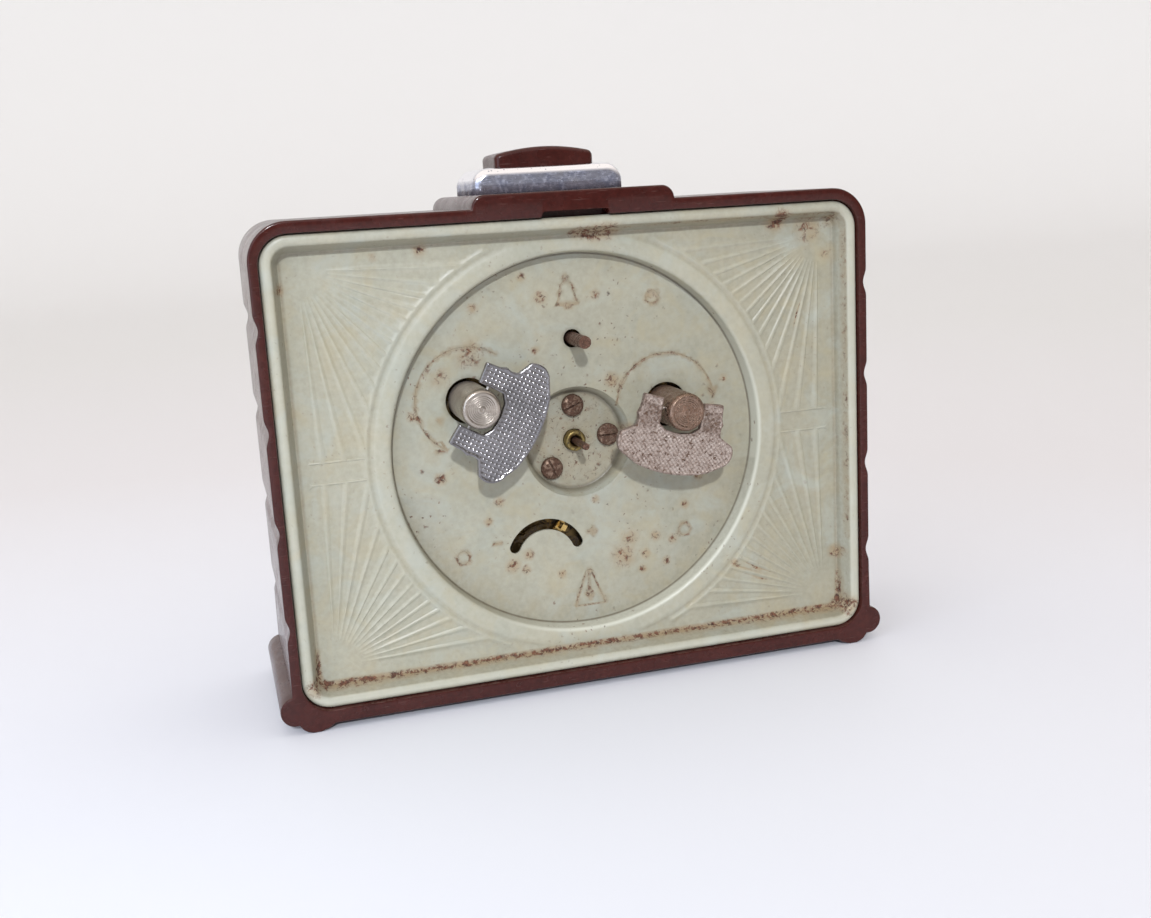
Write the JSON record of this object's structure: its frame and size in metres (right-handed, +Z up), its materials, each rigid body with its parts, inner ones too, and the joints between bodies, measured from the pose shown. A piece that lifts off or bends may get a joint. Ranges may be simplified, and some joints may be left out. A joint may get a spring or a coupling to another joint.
{
  "type": "wind-up alarm clock",
  "caption": "Wind-up alarm clock in a fluted moulded case with a sunburst back cover, folding winding keys, stop button, hands and full movement.",
  "frame": {"origin": "middle of the base, on the surface the feet stand on", "axes": "+Z up, -Y out of the dial, +Y out of the back cover, +X to the right of the dial as it is read"},
  "size_m": [0.146, 0.055, 0.1237],
  "materials": {
    "bakelite": "dark brown moulded Bakelite, polished",
    "cover_paint": "pale grey-green paint on pressed steel, rust spots",
    "chrome": "polished chrome plate, lightly scratched",
    "nickel": "bright nickel plate, knurled face",
    "rusty_nickel": "worn nickel plate with rust",
    "rusty_steel": "rusted steel",
    "steel": "turned steel",
    "spring_steel": "blued spring steel",
    "brass": "stamped brass",
    "dial_enamel": "cream enamel",
    "hand_paint": "black paint",
    "glass": "clear domed glass"
  },
  "bodies": {
    "clock": {"case": "bakelite", "back_plate": "cover_paint", "bezel": "chrome", "crystal": "glass", "dial": "dial_enamel", "top_hood": "chrome", "front_movement_plate": "brass", "rear_movement_plate": "brass", "pillar_1": "brass", "pillar_2": "brass", "pillar_3": "brass", "pillar_4": "brass", "back_screw_1": "rusty_steel", "back_screw_2": "rusty_steel", "back_screw_3": "rusty_steel", "time_mainspring": "spring_steel", "alarm_mainspring": "spring_steel", "gong_ring": "spring_steel", "gong_post": "brass", "hairspring": "spring_steel", "centre_bush": "brass", "button_spring": "spring_steel"},
    "button": {"stop_button": "bakelite", "stop_stem": "steel"},
    "stop_lever": {"stop_lever": "steel"},
    "time_winding": {"time_key_boss": "rusty_nickel", "time_winding_arbor": "steel", "time_key_pin": "steel"},
    "time_flap": {"time_key_flap": "rusty_nickel"},
    "alarm_winding": {"alarm_key_boss": "nickel", "alarm_winding_arbor": "steel", "alarm_key_pin": "steel"},
    "alarm_flap": {"alarm_key_flap": "nickel"},
    "hands": {"centre_arbor": "steel", "cannon_pinion": "steel", "minute_hand": "hand_paint"},
    "minute": {"minute_wheel": "brass"},
    "hour": {"hour_wheel": "brass", "hour_hand": "hand_paint"},
    "alarm_wheel": {"alarm_wheel": "brass"},
    "fourth": {"fourth_arbor": "steel", "fourth_wheel": "brass"},
    "third": {"third_arbor": "steel", "third_wheel": "brass"},
    "centre": {"centre_wheel": "brass"},
    "time_great": {"time_great_wheel": "brass"},
    "escape": {"escape_arbor": "steel", "escape_wheel": "brass"},
    "pallet": {"pallet_fork": "steel"},
    "balance": {"balance_staff": "steel", "balance_wheel": "brass"},
    "alarm_setting": {"alarm_set_arbor": "steel", "alarm_hand": "hand_paint"},
    "alarm_great": {"alarm_great_wheel": "brass"},
    "strike": {"strike_arbor": "steel", "strike_wheel": "brass"},
    "hammer": {"alarm_hammer": "steel"},
    "regulator": {"regulator_lever": "brass"},
    "time_click": {"time_click": "steel"},
    "alarm_click": {"alarm_click": "steel"}
  },
  "joints": [
    {"name": "button_press", "type": "slide", "parent": "clock", "child": "button", "axis": [0, 0, -1], "range_m": [0, 0.0015], "stiffness_N_per_m": 900, "springref_m": -0.0006, "deforming": ["button_spring"]},
    {"name": "stop_lever_tilt", "type": "hinge", "parent": "clock", "child": "stop_lever", "pos_m": [-0.016, -0.008, 0.0925], "axis": [0, 1, 0], "range_deg": [0, 5.6]},
    {"name": "time_winding_turn", "type": "hinge", "parent": "clock", "child": "time_winding", "pos_m": [-0.0219, 0, 0.0632], "axis": [0, 1, 0], "continuous": true},
    {"name": "time_flap_fold", "type": "hinge", "parent": "time_winding", "child": "time_flap", "pos_m": [-0.0219, 0.0239, 0.0632], "axis": [0.9703, 0, 0.2419], "range_deg": [0, 180]},
    {"name": "alarm_winding_turn", "type": "hinge", "parent": "clock", "child": "alarm_winding", "pos_m": [0.0249, 0, 0.0686], "axis": [0, 1, 0], "continuous": true},
    {"name": "alarm_flap_fold", "type": "hinge", "parent": "alarm_winding", "child": "alarm_flap", "pos_m": [0.0249, 0.0239, 0.0686], "axis": [0.5, 0, -0.866], "range_deg": [0, 180]},
    {"name": "hands_turn", "type": "hinge", "parent": "clock", "child": "hands", "pos_m": [0, 0, 0.0565], "axis": [0, 1, 0], "continuous": true},
    {"name": "minute_wheel_turn", "type": "hinge", "parent": "clock", "child": "minute", "pos_m": [0.0075, 0, 0.04351], "axis": [0, 1, 0], "continuous": true},
    {"name": "hour_hand_turn", "type": "hinge", "parent": "clock", "child": "hour", "pos_m": [0, 0, 0.0565], "axis": [0, 1, 0], "continuous": true},
    {"name": "alarm_wheel_turn", "type": "hinge", "parent": "clock", "child": "alarm_wheel", "pos_m": [0, 0, 0.0805], "axis": [0, 1, 0], "continuous": true},
    {"name": "fourth_wheel_turn", "type": "hinge", "parent": "clock", "child": "fourth", "pos_m": [-0.0139, 0, 0.03782], "axis": [0, 1, 0], "continuous": true},
    {"name": "third_wheel_turn", "type": "hinge", "parent": "clock", "child": "third", "pos_m": [-0.00234, 0, 0.04321], "axis": [0, 1, 0], "continuous": true},
    {"name": "centre_wheel_turn", "type": "hinge", "parent": "clock", "child": "centre", "pos_m": [0, 0, 0.0565], "axis": [0, 1, 0], "continuous": true},
    {"name": "time_great_wheel_turn", "type": "hinge", "parent": "clock", "child": "time_great", "pos_m": [-0.0219, 0, 0.0632], "axis": [0, 1, 0], "continuous": true},
    {"name": "escape_wheel_turn", "type": "hinge", "parent": "clock", "child": "escape", "pos_m": [-0.01193, 0, 0.02665], "axis": [0, 1, 0], "continuous": true},
    {"name": "pallet_rock", "type": "hinge", "parent": "clock", "child": "pallet", "pos_m": [-0.00343, -0.0025, 0.02793], "axis": [0, 1, 0], "range_deg": [-5, 5]},
    {"name": "balance_swing", "type": "hinge", "parent": "clock", "child": "balance", "pos_m": [0.009, 0.004, 0.0298], "axis": [0, 1, 0], "range_deg": [-140, 140], "stiffness_Nm_per_rad": 0.00002},
    {"name": "alarm_set_turn", "type": "hinge", "parent": "clock", "child": "alarm_setting", "pos_m": [0, 0, 0.0805], "axis": [0, 1, 0], "continuous": true},
    {"name": "alarm_great_wheel_turn", "type": "hinge", "parent": "clock", "child": "alarm_great", "pos_m": [0.0249, 0, 0.0686], "axis": [0, 1, 0], "continuous": true},
    {"name": "strike_wheel_turn", "type": "hinge", "parent": "clock", "child": "strike", "pos_m": [0.033, 0, 0.05457], "axis": [0, 1, 0], "continuous": true},
    {"name": "hammer_swing", "type": "hinge", "parent": "clock", "child": "hammer", "pos_m": [0.03151, -0.004, 0.0461], "axis": [0, -1, 0], "range_deg": [-14, 5]},
    {"name": "regulator_turn", "type": "hinge", "parent": "clock", "child": "regulator", "pos_m": [0.009, 0.0106, 0.0298], "axis": [0, -1, 0], "range_deg": [-78, 22]},
    {"name": "time_click_lift", "type": "hinge", "parent": "clock", "child": "time_click", "pos_m": [-0.01665, 0.0065, 0.05411], "axis": [0, -1, 0], "range_deg": [0, 12], "stiffness_Nm_per_rad": 0.002, "springref_deg": -11.46},
    {"name": "alarm_click_lift", "type": "hinge", "parent": "clock", "child": "alarm_click", "pos_m": [0.01965, 0.0065, 0.05951], "axis": [0, -1, 0], "range_deg": [0, 12], "stiffness_Nm_per_rad": 0.002, "springref_deg": -11.46}
  ],
  "couplings": [
    {"joint": "stop_lever_tilt", "follows": "button_press", "rad_per_m": 62.5},
    {"joint": "minute_wheel_turn", "follows": "hands_turn", "ratio": -0.33333},
    {"joint": "hour_hand_turn", "follows": "hands_turn", "ratio": 0.083333},
    {"joint": "alarm_wheel_turn", "follows": "hands_turn", "ratio": -0.083333},
    {"joint": "escape_wheel_turn", "follows": "fourth_wheel_turn", "ratio": -8},
    {"joint": "third_wheel_turn", "follows": "fourth_wheel_turn", "ratio": -0.13333},
    {"joint": "centre_wheel_turn", "follows": "fourth_wheel_turn", "ratio": 0.016667},
    {"joint": "time_great_wheel_turn", "follows": "fourth_wheel_turn", "ratio": -0.0033333},
    {"joint": "strike_wheel_turn", "follows": "alarm_great_wheel_turn", "ratio": -4}
  ]
}
